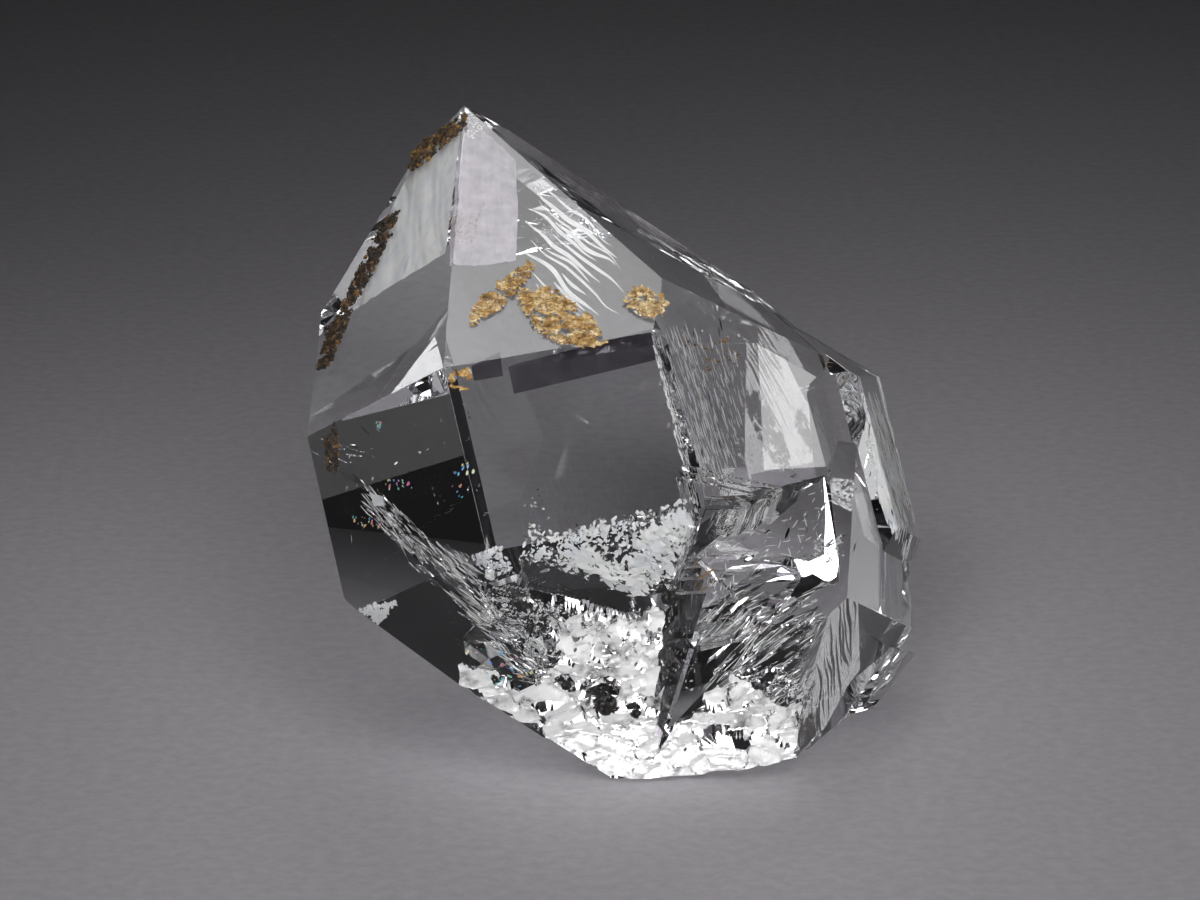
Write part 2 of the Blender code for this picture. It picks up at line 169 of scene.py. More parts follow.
# Solid flakes inside, in rows of the same kind, by material.
INNER = {
    "frost": {
        "upper left folds": (((425, 150), (463, 115), (457, 215), (446, 254), (360, 308), (385, 240)),
                             (0.15, 0.28), 90, (0.8, 0.05), (78, 10), (0, 45)),
        "crackle": (((525, 558), (600, 525), (699, 495), (699, 545), (640, 590), (560, 570)),
                    (0.2, 1.2), 420, (0.24, 0.14), (20, 180), (0, 40)),
        "bright patch": (((632, 540), (668, 518), (697, 507), (690, 545), (668, 578), (645, 592), (630, 570)),
                         (0.12, 0.7), 280, (0.46, 0.22), (-40, 40), (0, 30)),
        "blaze": (((559, 553), (572, 543), (602, 556), (632, 577), (648, 592), (634, 598), (606, 583)),
                  (0.12, 0.4), 170, (0.5, 0.16), (-36, 30), (0, 30)),
        "upper sparks": (((520, 562), (530, 520), (560, 535), (600, 520), (640, 512), (600, 560), (560, 548)),
                         (0.12, 0.5), 160, (0.2, 0.1), (20, 180), (0, 50)),
        "below the dark facet": (((530, 601), (582, 612), (634, 626), (640, 640), (580, 628), (528, 614)),
                                 (0.12, 0.5), 120, (0.12, 0.07), (20, 180), (0, 55)),
        "upper feather": (((367, 489), (384, 495), (430, 540), (480, 570), (470, 586), (400, 545),
                           (365, 512)),
                          (0.4, 1.6), 150, (0.7, 0.05), (-38, 10), (0, 60)),
        "lower feather": (((450, 595), (480, 590), (550, 655), (545, 680), (500, 660)),
                          (0.4, 1.6), 150, (0.8, 0.05), (-42, 10), (0, 60)),
        "lower front": (((545, 600), (600, 612), (690, 600), (700, 690), (600, 700), (540, 670)),
                        (0.1, 0.5), 200, (0.16, 0.09), (20, 180), (0, 50)),
        "white knot": (((471, 556), (500, 546), (514, 570), (490, 581)),
                       (0.12, 0.5), 240, (0.16, 0.1), (20, 180), (0, 50)),
        "tip": (((453, 118), (467, 108), (484, 126), (474, 140), (455, 136)),
                (0.08, 0.3), 150, (0.1, 0.06), (20, 180), (0, 60)),
        "edge streak": (((446, 150), (457, 150), (453, 228), (447, 228)),
                        (0.08, 0.3), 90, (0.6, 0.05), (87, 4), (0, 40)),
        "line on the right slope": (((556, 172), (660, 222), (740, 275), (806, 332), (799, 338), (735, 285),
                                     (654, 233), (556, 180)),
                                    (0.1, 0.3), 220, (0.5, 0.06), (-35, 4), (0, 30)),
        "lower blades": (((700, 600), (808, 590), (840, 650), (800, 705), (710, 700)),
                         (0.2, 1.4), 90, (1.1, 0.05), (38, 6), (0, 50)),
        "bright sliver": (((888, 462), (904, 468), (913, 505), (899, 502)),
                          (0.1, 0.4), 160, (0.3, 0.07), (-68, 8), (0, 45)),
        "left wedge": (((357, 610), (397, 601), (377, 626)),
                       (0.1, 0.4), 260, (0.2, 0.12), (20, 180), (0, 30)),
        "edge line": (((649, 329), (656, 329), (700, 500), (692, 505)),
                      (0.1, 0.4), 150, (0.3, 0.06), (-76, 8), (0, 50)),
        "bluish lines": (((662, 330), (690, 330), (735, 470), (705, 500)),
                         (0.15, 0.9), 170, (0.8, 0.05), (-76, 5), (0, 50)),
        "left of the right face": (((658, 332), (700, 332), (742, 352), (746, 380), (735, 468), (706, 492)),
                                   (0.1, 0.7), 380, (0.5, 0.07), (-76, 6), (0, 30)),
        "ledge lines": (((705, 505), (835, 480), (838, 565), (700, 590)),
                        (0.15, 0.9), 150, (0.5, 0.05), (38, 50), (0, 50)),
        "milky spot": (((735, 440), (760, 430), (775, 448), (760, 466), (738, 462)),
                       (0.2, 0.8), 190, (0.12, 0.09), (20, 180), (0, 50)),
        "white patches": (((773, 455), (805, 448), (808, 466), (778, 472)),
                          (0.2, 0.7), 130, (0.14, 0.08), (20, 180), (0, 50)),
        "white bar": (((758, 400), (812, 382), (816, 388), (762, 408)),
                      (0.2, 0.5), 60, (0.5, 0.06), (18, 4), (0, 40)),
        "right patch": (((866, 437), (888, 440), (890, 463), (868, 462)),
                        (0.12, 0.5), 220, (0.14, 0.1), (20, 180), (0, 50)),
        "right streaks": (((866, 395), (892, 405), (911, 470), (905, 560), (880, 500)),
                          (0.08, 0.5), 620, (0.8, 0.14), (-80, 6), (0, 30)),
        "ledge patch": (((810, 540), (840, 534), (843, 556), (815, 562)),
                        (0.15, 0.7), 90, (0.14, 0.1), (20, 180), (0, 50)),
        "low patch": (((749, 725), (780, 712), (798, 728), (770, 746)),
                      (0.15, 0.8), 120, (0.14, 0.1), (20, 180), (0, 50)),
        "side patch": (((786, 690), (820, 682), (830, 700), (800, 722)),
                       (0.15, 0.8), 90, (0.16, 0.08), (20, 180), (0, 50)),
    },
    "iron_stain": {
        "line on the right slope": (((560, 176), (660, 226), (740, 279), (806, 335), (799, 341), (735, 288),
                                     (654, 237), (556, 184)),
                                    (0.08, 0.3), 160, (0.5, 0.06), (-35, 4), (0, 30)),
        "right slope": (((700, 285), (745, 292), (862, 366), (820, 373), (740, 333)),
                        (0.05, 0.3), 60, (0.8, 0.06), (-34, 6), (0, 50)),
        "right sliver": (((894, 475), (910, 478), (916, 515), (905, 512)),
                         (0.1, 0.4), 40, (0.3, 0.08), (-68, 8), (0, 45)),
        "stepped stains": (((676, 323), (745, 340), (749, 374), (690, 374)),
                           (0.2, 1.0), 40, (0.5, 0.1), (12, 6), (0, 25)),
        "front stains": (((447, 213), (481, 213), (475, 243), (450, 245)),
                         (0.1, 0.2), 90, (0.1, 0.05), (60, 20), (0, 40)),
        "ledge stains": (((694, 562), (716, 565), (716, 593), (696, 593)),
                         (0.2, 0.8), 16, (0.3, 0.12), (40, 8), (0, 30)),
    },
    # Painted shade: dark blue flakes where the right prism face shows dark streaks of reflection.
    "painted_shade_streak": {
        "streaks": (((676, 374), (735, 374), (735, 458), (690, 458)),
                    (0.3, 1.2), 34, (0.8, 0.06), (-76, 4), (0, 40)),
    },
    # Painted glints: small flakes coloured like rainbow sparkles.
    "glint": {
        "upper": (((376, 421), (381, 421), (381, 433), (376, 433)),
                  (0.3, 0.8), 12, (0.14, 0.09), (90, 60), (0, 30)),
        "middle": (((384, 480), (412, 480), (412, 489), (384, 489)),
                   (0.3, 0.8), 20, (0.14, 0.09), (90, 60), (0, 30)),
        "right": (((455, 463), (469, 463), (462, 501), (450, 501)),
                  (0.3, 0.8), 16, (0.16, 0.08), (60, 20), (0, 30)),
        "left": (((351, 517), (381, 517), (381, 529), (351, 529)),
                 (0.3, 0.8), 20, (0.14, 0.09), (60, 60), (0, 30)),
        "low": (((462, 640), (530, 662), (530, 686), (480, 690)),
                (0.2, 0.6), 30, (0.2, 0.12), (-40, 30), (0, 30)),
    },
}
# Whole films by material, with outlines in the photograph's pixels. Each row: outline, depth and fold
# in mm, how close the folds are across and down, and how far in the edge is ragged.
FILMS = {
    "frost": {
        "upper left": (((414, 162), (440, 139), (464, 112), (456, 180), (449, 232), (446, 254), (400, 282),
                        (357, 309), (372, 262), (392, 205)), 0.3, 0.5, (0.07, 0.015), 0.06),
        "feather quill": (((367, 490), (384, 495), (388, 508), (372, 507)), 0.3, 0.1, (0.1, 0.1), 0.5),
    },
    "veil": {
        "top of the front": (((466, 114), (490, 134), (517, 160), (519, 215), (517, 262), (482, 268),
                              (450, 266), (452, 238), (458, 180)), 0.25, 0.6, (0.06, 0.02), 0.06),
    },
    # Painted shade: dim films under the front prism face that darken a band along its top and a notch.
    "shade": {
        "band": (((508, 366), (651, 329), (656, 360), (514, 394)), 0.12, 0.0, (0.1, 0.1), 0.0),
        "notch": (((471, 366), (500, 352), (503, 376), (474, 381)), 0.12, 0.0, (0.1, 0.1), 0.0),
    },
}
FILM_PARTS = 10
FILM_RINGS = 26
FILM_THICKNESS = 0.02
FILM_NOTCHES = 0.3
# White growth stripes under the front top face: where the first and last begin and their run in
# pixels, their half widths, depths and thickness in mm, and how far they wave in pixels.
STRIPE_COUNT = 15
STRIPE_STEPS = 16
STRIPE_FIRST, STRIPE_LAST = (522, 170), (523, 282)
STRIPE_RUN = (122, 100)
STRIPE_HALF_WIDTHS = (0.04, 0.1)
STRIPE_DEPTHS = (0.3, 0.5)
STRIPE_THICKNESS = 0.02
STRIPE_WAVE = 5.0
PIXELS_A_MM = 22.7

# Bubbles: place in the photograph's pixels, depth and radius in mm.
BUBBLES = [((743, 414), 0.6, 0.13), ((495, 209), 0.7, 0.09), ((662, 235), 0.6, 0.1)]
DROPLET_OUTLINE = ((523, 491), (540, 489), (549, 520), (545, 543), (528, 535))
DROPLET_COUNT = 12
DROPLET_DEPTH = 0.5
DROPLET_RADII = (0.04, 0.08)
DROPLET_SEED, STRIPE_SEED, INNER_SEED = 5, 9, 100

# The crusts: grains on each, their size in mm, how long they are drawn out and how dark they are.
CRUSTS = {
    "crust_tip": (900, 0.1, 1.3, 0.55),
    "crust_left_upper": (1000, 0.1, 1.3, 0.75),
    "crust_left_lower": (800, 0.1, 1.3, 0.7),
    "crust_left_prism": (260, 0.08, 1.3, 0.75),
    "crust_oval": (1200, 0.08, 2.4, -0.15),
    "crust_streak": (560, 0.08, 1.6, -0.1),
    "crust_corner": (200, 0.07, 1.3, 0.0),
    "crust_edge_top": (420, 0.08, 1.5, -0.3),
}
# The bright part of the right prism face: its middle in pixels, and how far its lamp is turned.
BRIGHT_PRISM_SPOT = (811, 403)
BRIGHT_PRISM_ROLL = -42.0
FLOOR_RADIUS = 0.172
# How far a crust's grains spread past its solid, where its noise leaves a gap, the most tries for
# each grain, and how far a grain may reach above its radius.
CRUST_SPILL = 1.3
CRUST_GAP = -0.28
CRUST_TRIES = 16
LARGEST_GROWTH = 1.25
COAL_GRAINS = ("grain_large", "grain_upper", "grain_lower", "grain_high")


def camera_ray(pixel):
    """Start and direction of the photograph's line of sight through a pixel."""
    start = CRYSTAL_CENTRE - LINE_OF_SIGHT * CAMERA_DISTANCE
    focal = LENS / SENSOR * PHOTO_WIDTH
    across = (pixel[0] - PHOTO_WIDTH / 2) / focal
    upward = (PHOTO_HEIGHT / 2 - pixel[1]) / focal
    return start, (LINE_OF_SIGHT + PICTURE_RIGHT * across + PICTURE_UP * upward).normalized()


def behind(tree, pixel, depth):
    """The point a depth in mm behind the surface that shows at a pixel, along the ray bent by quartz."""
    start, direction = camera_ray(pixel)
    surface, normal, index, reach = tree.ray_cast(start, direction)
    if surface is None:
        return None
    cosine = -direction.dot(normal)
    ratio = 1.0 / QUARTZ_IOR
    bend = ratio * cosine - math.sqrt(1.0 - ratio * ratio * (1.0 - cosine * cosine))
    inward = (direction * ratio + normal * bend).normalized()
    return surface + inward * (depth * MM)


def add_piece(name, mesh, *materials):
    piece = bpy.data.objects.new(name, mesh)
    bpy.context.scene.collection.objects.link(piece)
    mesh.materials.clear()
    for material in materials:
        mesh.materials.append(material)
    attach(piece, "root")
    return piece


def mesh_of(name, shape):
    mesh = bpy.data.meshes.new(name)
    shape.to_mesh(mesh)
    shape.free()
    return mesh


def chips(u, v, cell, seed):
    """Height of a chipped surface, from about -1 to 1: flat shards that tilt each their own way."""
    place = Vector((u / cell, v / cell, seed))
    site = noise.voronoi(place)[1][0]
    across = noise.noise(site * 7.3) * (place.x - site.x)
    along = noise.noise(site * 5.1 + Vector((9.0, 0.0, 0.0))) * (place.y - site.y)
    return noise.noise(site * 3.7) + CHIP_TILT * across + CHIP_TILT * along


def break_height(u, v):
    """The fine chipped surface in mm: the coarse shards, small crumbs and flowing ridges below them."""
    if in_outline((u, v), WINDOW_PLACE):
        return -WINDOW_DEPTH
    coarse = BREAK_RELIEF * chips(u, v, BREAK_CELL, COARSE_SEED)
    bend = noise.noise(Vector((u * 0.35, v * 0.35, 8.0)))
    fine = FINE_RELIEF * noise.noise(Vector((u * 2.5, v * 4.0, 3.0)))
    if not is_milky(u, v):
        across = u * math.sin(STREAK_TURN) + v * math.cos(STREAK_TURN) + 0.5 * bend
        start = (u + 0.35 * v - FINE_FROM) / (FINE_FULL - FINE_FROM)
        lift = OFF_SURFACE * (1.0 - max(0.0, min(1.0, start)))
        streak = sum(height * abs(math.sin(close * across)) for height, close in STREAK_WAVES) - STREAK_SINK
        return coarse - 0.5 * SKIN + streak + lift
    away = math.hypot((u - CRUMB_MIDDLE[0]) / CRUMB_RADII[0], (v - CRUMB_MIDDLE[1]) / CRUMB_RADII[1])
    crumbled = 0.5 - 0.5 * math.tanh(3.0 * (away - 1.0 + 0.5 * noise.noise(Vector((u * 0.6, v * 0.6, 1.0)))))
    crumbs = CRUMB_RELIEF * chips(u, v, CRUMB_CELL, CRUMB_SEED)
    ridge = abs(math.sin(2.2 * (v + 0.35 * u + 2.2 * bend))) - 0.5
    return coarse - SKIN + crumbled * crumbs + (1.0 - crumbled) * RIPPLE_RELIEF * ridge + fine


def is_milky(u, v):
    """Whether a place on the chipped front is crumbly, with an uneven border."""
    ragged = 0.5 * noise.noise(Vector((u * 1.1, v * 1.1, 6.0)))
    drift = 0.5 * noise.noise(Vector((u * 1.1, v * 1.1, 12.0)))
    return in_outline((u + ragged, v + drift), MILKY_PLACE)


class BreakPlane:
    """The chipped front's flat base, with directions along it in mm."""

    origin = CRYSTAL_CENTRE + BREAK_FACING * (BREAK_DISTANCE * MM)

    def __init__(self, axis):
        self.right = axis.cross(BREAK_FACING).normalized()
        self.up = BREAK_FACING.cross(self.right)

    def point(self, u, v, lift):
        return self.origin + (self.right * u + self.up * v + BREAK_FACING * lift) * MM

    def place(self, point):
        offset = (point - self.origin) / MM
        return offset.dot(self.right), offset.dot(self.up), offset.dot(BREAK_FACING)


def crystal_axis():
    """The crystal's long axis: upright, then turned by each lean."""
    turn = Matrix.Identity(3)
    for degrees, about in CRYSTAL_LEANS:
        turn = turn @ Matrix.Rotation(math.radians(degrees), 3, about)
    return turn @ Vector((0.0, 0.0, 1.0))


def on_break(pixel):
    """Where on the chipped front's base a pixel of the photograph lies, in mm."""
    start, direction = camera_ray(pixel)
    reach = (BREAK.origin - start).dot(BREAK_FACING) / direction.dot(BREAK_FACING)
    return BREAK.place(start + direction * reach)[:2]


LONG_AXIS = crystal_axis()
BREAK = BreakPlane(LONG_AXIS)
WINDOW_PLACE = [on_break(pixel) for pixel in WINDOW]
MILKY_PLACE = [on_break(pixel) for pixel in MILKY]


def sheet_cutter(name, point, reach, step, depth):
    """A closed block whose inner side is a fine rough sheet and whose outer side is flat."""
    count = int(2 * reach / step)
    steps = [-reach + number * step for number in range(count + 1)]
    shape = bmesh.new()
    near = [[shape.verts.new(point(u, v, None)) for u in steps] for v in steps]
    for row, above in zip(near, near[1:]):
        for i in range(count):
            shape.faces.new((row[i], row[i + 1], above[i + 1], above[i]))
    ring = ([(i, 0) for i in range(count)] + [(count, i) for i in range(count)]
            + [(i, count) for i in range(count, 0, -1)] + [(0, i) for i in range(count, 0, -1)])
    rim = []
    for column, row in ring:
        rim.append((near[row][column], shape.verts.new(point(steps[column], steps[row], depth))))
    for (inner, outer), (next_inner, next_outer) in zip(rim, rim[1:] + rim[:1]):
        shape.faces.new((inner, next_inner, next_outer, outer))
    shape.faces.new([outer for inner, outer in rim])
    bmesh.ops.triangulate(shape, faces=[face for face in shape.faces if len(face.verts) > 4])
    bmesh.ops.recalc_face_normals(shape, faces=shape.faces)
    tool = bpy.data.objects.new(name, mesh_of(name, shape))
    bpy.context.scene.collection.objects.link(tool)
    return tool


def cut_away(piece, tool):
    """Cuts a helper shape out of a piece for good, and removes the helper."""
    step = piece.modifiers.new(tool.name, "BOOLEAN")
    step.operation = "DIFFERENCE"
    step.solver = "EXACT"
    step.object = tool
    bpy.context.view_layer.update()
    graph = bpy.context.evaluated_depsgraph_get()
    result = bpy.data.meshes.new_from_object(piece.evaluated_get(graph))
    piece.modifiers.clear()
    piece.data = result
    bpy.data.objects.remove(tool)


def worn_mesh(source):
    """The solid's mesh with its long edges worn by a hair, so that they catch the light."""
    shape = bmesh.new()
    shape.from_mesh(source)
    bmesh.ops.remove_doubles(shape, verts=shape.verts, dist=1e-7)
    bmesh.ops.dissolve_limit(shape, angle_limit=FLAT_ANGLE, verts=shape.verts, edges=shape.edges)
    sharp = [edge for edge in shape.edges
             if len(edge.link_faces) == 2 and edge.calc_face_angle(0.0) > SHARP_ANGLE
             and all(face.calc_area() > BROAD_FACE * MM * MM for face in edge.link_faces)]
    bmesh.ops.bevel(shape, geom=sharp, offset=EDGE_WEAR * MM, segments=2, profile=0.5,
                    affect="EDGES", clamp_overlap=True)
    return mesh_of("clear_crystal", shape)


def break_cutter():
    middle_u, middle_v = BREAK_MIDDLE

    def point(u, v, lift):
        u, v = u + middle_u, v + middle_v
        return BREAK.point(u, v, break_height(u, v) if lift is None else lift)

    return sheet_cutter("cut_break", point, BREAK_REACH, FINE_STEP, CUT_THROUGH)


def slab(shape, centre, along, across, outline, thickness, hollow):
    """A thin closed plate with an outline in mm. A hollow one faces inward, as the wall of a void does."""
    lift = along.cross(across) * (thickness * MM / 2)
    flat = [centre + (along * a + across * b) * MM for a, b in outline]
    top = [shape.verts.new(point + lift) for point in flat]
    bottom = [shape.verts.new(point - lift) for point in flat]
    rings = [top, bottom[::-1]]
    for i, corner in enumerate(top):
        before = i - 1
        rings.append([top[before], bottom[before], bottom[i], corner])
    for ring in rings:
        shape.faces.new(ring[::-1] if hollow else ring)


def ragged_outline(draw, length, width):
    """Five to seven corners round a flake, uneven."""
    corners = draw.randint(5, 7)
    outline = []
    for corner in range(corners):
        angle = math.tau * (corner + draw.uniform(-0.25, 0.25)) / corners
        reach = draw.uniform(0.55, 1.0)
        outline.append((reach * length * math.cos(angle), reach * width * math.sin(angle)))
    return outline


def in_outline(pixel, outline):
    """Whether a place lies inside an outline."""
    x, y = pixel
    odd = False
    for (x0, y0), (x1, y1) in zip(outline, outline[1:] + outline[:1]):
        if (y0 > y) != (y1 > y) and x < x0 + (y - y0) * (x1 - x0) / (y1 - y0):
            odd = not odd
    return odd


def pixel_in(draw, outline):
    """A drawn place inside an outline."""
    columns = [corner[0] for corner in outline]
    rows = [corner[1] for corner in outline]
    while True:
        pixel = (draw.uniform(min(columns), max(columns)), draw.uniform(min(rows), max(rows)))
        if in_outline(pixel, outline):
            return pixel


def flake_axes(draw, direction, spread, tilts):
    """A flake's two directions: one turned on the picture, the other tilted away from the camera."""
    turn = math.radians(direction + draw.uniform(-spread, spread))
    along = PICTURE_RIGHT * math.cos(turn) + PICTURE_UP * math.sin(turn)
    flat = LINE_OF_SIGHT.cross(along)
    tilt = math.radians(draw.uniform(*tilts)) * draw.choice((-1, 1))
    across = flat * math.cos(tilt) + LINE_OF_SIGHT * math.sin(tilt)
    lean = math.radians(draw.uniform(-FLAKE_LEAN, FLAKE_LEAN))
    along = along * math.cos(lean) + along.cross(across) * math.sin(lean)
    return along, across


def sealed(tree, point, reach):
    """Whether a point has at least a reach in mm of quartz around it."""
    found, normal, index, distance = tree.find_nearest(point)
    return (found - point).dot(normal) > 0 and distance > reach * MM


def flakes(shape, tree, row, seed, thickness, hollow):
    """Scatters flakes behind the surface of an outline on the picture."""
    outline, depths, count, (length, width), (direction, spread), tilts = row
    draw = random.Random(seed)
    for number in range(count):
        size = draw.uniform(*FLAKE_SHARES) ** 1.5
        centre = behind(tree, pixel_in(draw, outline), draw.uniform(*depths))
        along, across = flake_axes(draw, direction, spread, tilts)
        corners = ragged_outline(draw, length * size, width * size)
        if centre is None:
            continue
        tips = [centre + (along * a + across * b) * MM for a, b in corners]
        if all(sealed(tree, tip, LEAST_COVER) for tip in tips):
            slab(shape, centre, along, across, corners, thickness, hollow)


def bubble(shape, tree, pixel, depth, radius):
    """A round void: a small sphere whose wall faces its inside."""
    centre = behind(tree, pixel, depth)
    if centre is None or not sealed(tree, centre, radius * 1.1):
        return
    ball = bmesh.ops.create_icosphere(shape, subdivisions=3, radius=radius * MM,
                                      matrix=Matrix.Translation(centre))
    walls = {face for vertex in ball["verts"] for face in vertex.link_faces}
    bmesh.ops.reverse_faces(shape, faces=list(walls))


def tree_of(mesh):
    return BVHTree.FromPolygons([vertex.co for vertex in mesh.vertices],
                                [list(face.vertices) for face in mesh.polygons])


def add_voids(piece, tree):
    """Joins the sealed cracks and bubbles to the crystal, as hollows in it."""
    shape = bmesh.new()
    shape.from_mesh(piece.data)
    for seed, row in enumerate(CRACKS.values()):
        flakes(shape, tree, row, seed, VOID_THICKNESS, True)
    for pixel, depth, radius in BUBBLES:
        bubble(shape, tree, pixel, depth, radius)
    draw = random.Random(DROPLET_SEED)
    for number in range(DROPLET_COUNT):
        bubble(shape, tree, pixel_in(draw, DROPLET_OUTLINE), DROPLET_DEPTH, draw.uniform(*DROPLET_RADII))
    shape.to_mesh(piece.data)
    shape.free()


def mark_break(mesh):
    """Marks the faces of the chipped front, which are milky with fine cracks."""
    marks = mesh.attributes.new("chipped", "FLOAT", "FACE")
    for face in mesh.polygons:
        if face.area > LARGEST_CHIP * MM * MM or face.normal.dot(BREAK_FACING) < 0.2:
            continue
        u, v, lift = BREAK.place(face.center)
        if in_outline((u, v), WINDOW_PLACE) or not is_milky(u, v):
            continue
        coarse = BREAK_RELIEF * chips(u, v, BREAK_CELL, COARSE_SEED)
        if min(abs(lift - break_height(u, v)), abs(lift - coarse)) < ON_THE_BREAK:
            marks.data[face.index].value = 1.0


def crystal():
    piece = add_piece("clear_crystal", worn_mesh(NODES["quartz_crystal"].data), quartz_material())
    cut_away(piece, break_cutter())
    tree = tree_of(piece.data)
    add_voids(piece, tree)
    mark_break(piece.data)
    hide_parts("quartz_crystal")
    return tree


def film(shape, tree, row):
    """One thin sheet with soft folds behind the surface, over a star-shaped outline on the picture."""
    outline, depth, fold, (across_scale, down_scale), ragged = row
    middle = [sum(values) / len(outline) for values in zip(*outline)]
    seed = middle[0]
    edge = []
    for (x0, y0), (x1, y1) in zip(outline, outline[1:] + outline[:1]):
        for part in range(FILM_PARTS):
            share = part / FILM_PARTS
            x, y = x0 + (x1 - x0) * share, y0 + (y1 - y0) * share
            notch = noise.noise(Vector((x * FILM_NOTCHES, y * FILM_NOTCHES, seed)))
            reach = 1.0 - ragged * (0.5 + 0.5 * notch)
            edge.append((middle[0] + (x - middle[0]) * reach, middle[1] + (y - middle[1]) * reach))
    layers = []
    for skin in (0.0, FILM_THICKNESS):
        rings = []
        for ring in range(1, FILM_RINGS + 1):
            corners = []
            for x, y in edge:
                share = ring / FILM_RINGS
                pixel = (middle[0] + (x - middle[0]) * share, middle[1] + (y - middle[1]) * share)
                lump = noise.noise(Vector((pixel[0] * across_scale, pixel[1] * down_scale, seed)))
                close = Vector((pixel[0] * across_scale * 3, pixel[1] * down_scale * 3, seed))
                lump += 0.35 * noise.noise(close)
                point = behind(tree, pixel, depth + fold * (0.5 + 0.5 * lump) + skin)
                corners.append(shape.verts.new(point))
            rings.append(corners)
        centre = shape.verts.new(behind(tree, middle, depth + fold * 0.5 + skin))
        layers.append((centre, rings))
    count = len(edge)
    for centre, rings in layers:
        for i in range(count):
            shape.faces.new((centre, rings[0][i - 1], rings[0][i]))
        for inner, outer in zip(rings, rings[1:]):
            for i in range(count):
                shape.faces.new((inner[i - 1], outer[i - 1], outer[i], inner[i]))
    near, far = layers[0][1][-1], layers[1][1][-1]
    for i in range(count):
        shape.faces.new((near[i - 1], far[i - 1], far[i], near[i]))


def stripes(shape, tree, draw):
    """White wavy growth lines that run side by side under the front top face."""
    for number in range(STRIPE_COUNT):
        down = number / (STRIPE_COUNT - 1)
        x0, y0 = [first + (last - first) * down for first, last in zip(STRIPE_FIRST, STRIPE_LAST)]
        from_share = draw.uniform(0.0, 0.25) + 0.1 * (number % 2)
        to_share = draw.uniform(0.6, 1.0) * (1.0 - 0.25 * down)
        wide = draw.uniform(*STRIPE_HALF_WIDTHS)
        depth = draw.uniform(*STRIPE_DEPTHS)
        rows = []
        for step in range(STRIPE_STEPS + 1):
            share = from_share + (to_share - from_share) * step / STRIPE_STEPS
            wave = STRIPE_WAVE * noise.noise(Vector((share * 5.0, number * 0.35, 2.0)))
            pixel = (x0 + STRIPE_RUN[0] * share - wave, y0 + STRIPE_RUN[1] * share + wave)
            half = wide * math.sin(math.pi * (0.06 + 0.9 * step / STRIPE_STEPS)) * PIXELS_A_MM
            rows.append([behind(tree, (pixel[0] + side * half * 0.6, pixel[1] - side * half), depth + skin)
                         for side, skin in ((-1, 0.0), (1, 0.0), (1, STRIPE_THICKNESS),
                                            (-1, STRIPE_THICKNESS))])
        if all(point is not None for row in rows for point in row):
            corners = [[shape.verts.new(point) for point in row] for row in rows]
            for ring, following in zip(corners, corners[1:]):
                for i in range(4):
                    shape.faces.new((ring[i - 1], following[i - 1], following[i], ring[i]))
            shape.faces.new(corners[0])
            shape.faces.new(corners[-1][::-1])


def inner_films(tree):
    """The films inside the crystal, one piece for each material."""
    # Painted light among these: the shade films and the dark streak flakes are painted shade, and the glint
    # flakes are painted rainbow glints.
    materials = {"frost": frost_material(), "veil": tinted_material("lilac veil", (0.62, 0.58, 0.64)),
                 "shade": painted_shade_material(), "iron_stain": tinted_material("iron stain", (0.47, 0.29, 0.13)),
                 "painted_shade_streak": tinted_material("dark streak", (0.16, 0.2, 0.3)), "glint": painted_glint_material()}
    for kind in materials:
        shape = bmesh.new()
        for seed, row in enumerate(INNER.get(kind, {}).values()):
            flakes(shape, tree, row, INNER_SEED + seed, FLAKE_THICKNESS, False)
        for row in FILMS.get(kind, {}).values():
            film(shape, tree, row)
        if kind == "frost":
            stripes(shape, tree, random.Random(STRIPE_SEED))
        bmesh.ops.recalc_face_normals(shape, faces=shape.faces)
        piece = add_piece("inner_" + kind, mesh_of("inner_" + kind, shape), materials[kind])


def crumb(shape, draw, centre, outward, radius, stretch):
    """An angular grain: a rough ball, drawn out along the surface."""
    side = outward.orthogonal().normalized()
    side.rotate(Matrix.Rotation(draw.uniform(0.0, math.tau), 3, outward))
    turn = Matrix((side, outward.cross(side), outward)).transposed()
    stretched = turn @ Matrix.Diagonal((stretch, 1.0, 0.8)) @ turn.transposed()
    grown = bmesh.ops.create_icosphere(shape, subdivisions=1, radius=radius * MM)
    for vertex in grown["verts"]:
        vertex.co = centre + stretched @ (vertex.co * draw.uniform(0.65, LARGEST_GROWTH))


def crust(name, tree):
    """A ragged crust of grains on the crystal's face, in the place of its plain solid."""
    count, size, stretch, dark = CRUSTS[name]
    draw = random.Random(name)
    source = NODES[name].data
    own = tree_of(source)
    low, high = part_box(name)
    middle = (Vector(low) + Vector(high)) / 2
    reach = (Vector(high) - Vector(low)).length / 2
    found, outward, index, distance = tree.find_nearest(middle)
    right = LONG_AXIS.cross(outward).normalized()
    up = outward.cross(right)
    shape = bmesh.new()
    made = 0
    for attempt in range(count * CRUST_TRIES):
        if made == count:
            break
        place = found + right * draw.uniform(-reach, reach) + up * draw.uniform(-reach, reach)
        under, normal, face, gap = own.ray_cast(found + (place - found) / CRUST_SPILL, outward)
        ragged = noise.noise(place * 1600.0) + 0.5 * noise.noise(place * 4000.0)
        if under is None or ragged < CRUST_GAP:
            continue
        radius = size * draw.uniform(0.4, 1.0) ** 1.4
        height = draw.uniform(0.2, 1.0) * min(0.4, 0.15 + 0.3 * (ragged + 0.3))
        centre = place + outward * (height * MM * 0.7)
        if centre.z + LARGEST_GROWTH * radius * stretch * MM > CAD_BOX[1][2]:
            continue
        crumb(shape, draw, centre, outward, radius, stretch)
        made += 1
    piece = add_piece(name + "_grains", mesh_of(name, shape), rust_material(name, dark))
    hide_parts(name)


